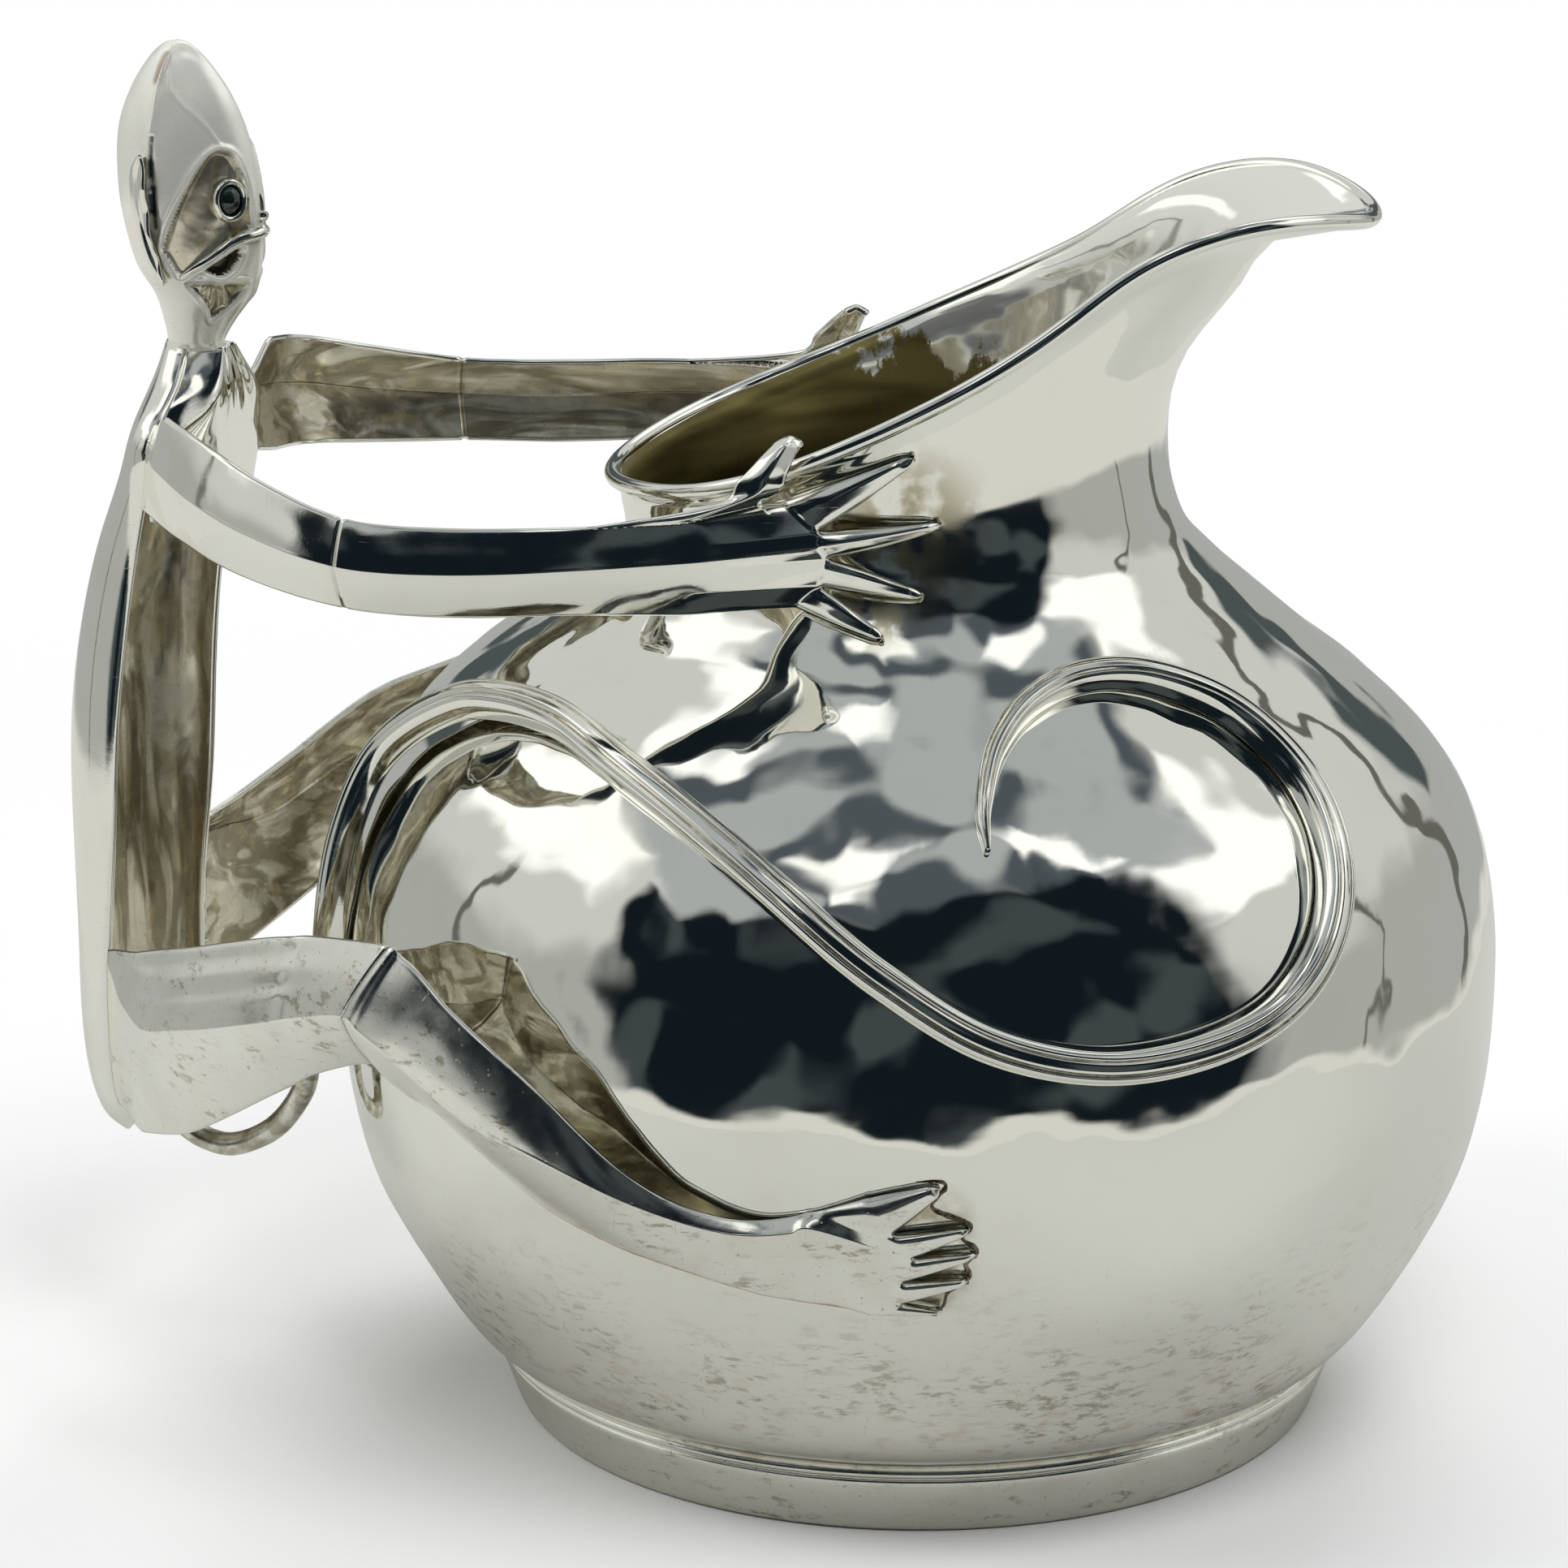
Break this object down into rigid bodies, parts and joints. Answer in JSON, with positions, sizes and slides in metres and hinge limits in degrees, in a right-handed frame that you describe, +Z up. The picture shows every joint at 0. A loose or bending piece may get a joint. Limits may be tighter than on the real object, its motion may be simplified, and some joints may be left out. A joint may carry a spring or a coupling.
{
  "type": "water pitcher",
  "caption": "Bellied silver water pitcher with a swept pouring lip, whose handle is a standing monkey that holds the neck with its hands and the belly with its feet and curled tail.",
  "frame": {"origin": "on the plane the foot ring stands on, under the middle of the whole pitcher's outline; the jug's own axis is 19.7 mm along +X from it", "axes": "+Z up; +X from the monkey towards the pouring lip; the tail's curl is on the -Y side of the belly"},
  "size_m": [0.205, 0.1758, 0.1954],
  "materials": {
    "hammered_silver": "polished over a soft hammered surface",
    "polished_silver": "polished, oxidised in the hollows",
    "satin_silver": "satin with light scratches",
    "black_stone": "polished black stone"
  },
  "bodies": {
    "root": {"chest_plate": "polished_silver", "ear_left": "polished_silver", "ear_right": "polished_silver", "eye_bezel_left": "polished_silver", "eye_bezel_right": "polished_silver", "eye_stone_left": "black_stone", "eye_stone_right": "black_stone", "foot_ring": "satin_silver", "forearm_hand_left": "polished_silver", "forearm_hand_right": "polished_silver", "head_shell": "polished_silver", "muzzle": "polished_silver", "nose": "polished_silver", "rim_wire": "polished_silver", "shin_foot_left": "satin_silver", "shin_foot_right": "satin_silver", "tail_band": "polished_silver", "tail_wire": "satin_silver", "thigh_left": "satin_silver", "thigh_right": "satin_silver", "torso_shell": "polished_silver", "upper_arm_left": "polished_silver", "upper_arm_right": "polished_silver", "vessel_shell": "hammered_silver"}
  },
  "joints": []
}
